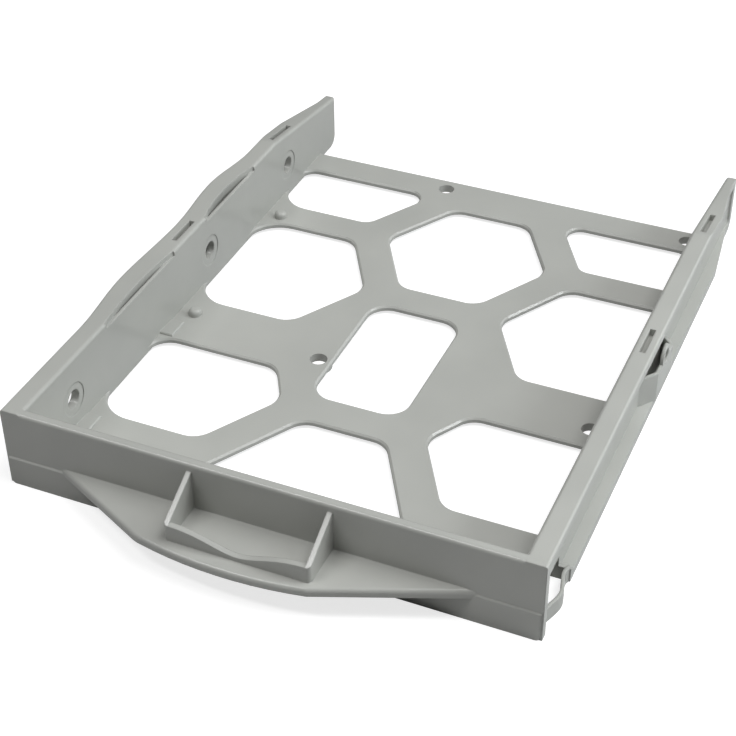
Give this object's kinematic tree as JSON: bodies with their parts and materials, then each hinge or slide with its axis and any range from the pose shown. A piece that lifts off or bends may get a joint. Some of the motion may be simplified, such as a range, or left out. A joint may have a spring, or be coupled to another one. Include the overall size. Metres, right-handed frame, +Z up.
{
  "type": "hot swap drive caddy",
  "caption": "Open moulded tray for a hard drive: honeycomb floor, rail-edged side walls with spring strips, and a low front bezel with a finger grip.",
  "frame": {"origin": "on the underside, at the middle of the bezel's front face", "axes": "+X to the right seen from the front, +Y from the bezel to the open rear, +Z up"},
  "size_m": [0.1145, 0.1617, 0.0182],
  "materials": {
    "tray_plastic": "satin moulded grey plastic with a fine even grain"
  },
  "bodies": {
    "root": {"caddy_tray": "tray_plastic"}
  },
  "joints": []
}
